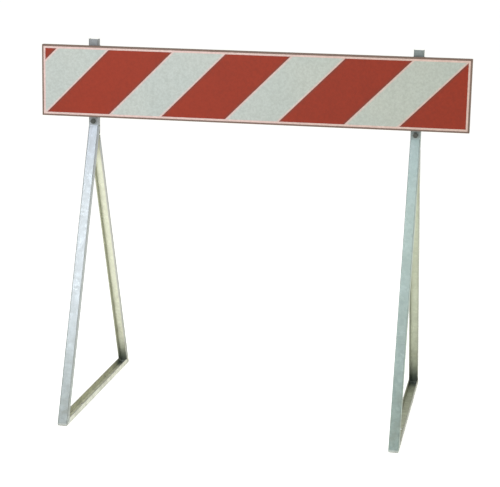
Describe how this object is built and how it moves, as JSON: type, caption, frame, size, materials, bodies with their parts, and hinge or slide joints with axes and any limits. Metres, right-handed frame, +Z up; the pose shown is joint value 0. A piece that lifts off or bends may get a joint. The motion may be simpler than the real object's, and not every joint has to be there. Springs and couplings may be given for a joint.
{
  "type": "road barrier",
  "caption": "Road barrier with a red and white striped steel board that slides down over the uprights of two bent channel stands.",
  "frame": {"origin": "on the ground, in the middle of the barrier's footprint", "axes": "+X along the board, -Y the striped side, +Z up"},
  "size_m": [1.2, 0.648, 1.034],
  "materials": {
    "panel_paint": "matte dark warm grey paint",
    "film_white": "satin retroreflective film, slightly green white",
    "film_red": "satin retroreflective film, brick red",
    "galvanised_steel": "hot-dip galvanised, dull with spangle",
    "zinc_fastener": "zinc plated, dull",
    "rivet_aluminium": "bright drawn"
  },
  "bodies": {
    "stands": {"left_stand_frame": "galvanised_steel", "left_closing_bolt": "zinc_fastener", "left_front_washer": "zinc_fastener", "left_back_washer": "zinc_fastener", "left_closing_nut": "zinc_fastener", "right_stand_frame": "galvanised_steel", "right_closing_bolt": "zinc_fastener", "right_front_washer": "zinc_fastener", "right_back_washer": "zinc_fastener", "right_closing_nut": "zinc_fastener"},
    "board": {"panel_shell": "panel_paint", "white_film": "film_white", "red_film_1": "film_red", "red_film_2": "film_red", "red_film_3": "film_red", "red_film_4": "film_red", "red_film_5": "film_red", "left_lower_sleeve_bracket": "galvanised_steel", "left_lower_left_rivet": "rivet_aluminium", "left_lower_right_rivet": "rivet_aluminium", "left_upper_sleeve_bracket": "galvanised_steel", "left_upper_left_rivet": "rivet_aluminium", "left_upper_right_rivet": "rivet_aluminium", "right_lower_sleeve_bracket": "galvanised_steel", "right_lower_left_rivet": "rivet_aluminium", "right_lower_right_rivet": "rivet_aluminium", "right_upper_sleeve_bracket": "galvanised_steel", "right_upper_left_rivet": "rivet_aluminium", "right_upper_right_rivet": "rivet_aluminium"}
  },
  "joints": [
    {"name": "board_lift", "type": "slide", "parent": "stands", "child": "board", "axis": [0, 0, 1], "range_m": [0, 0.24]}
  ]
}
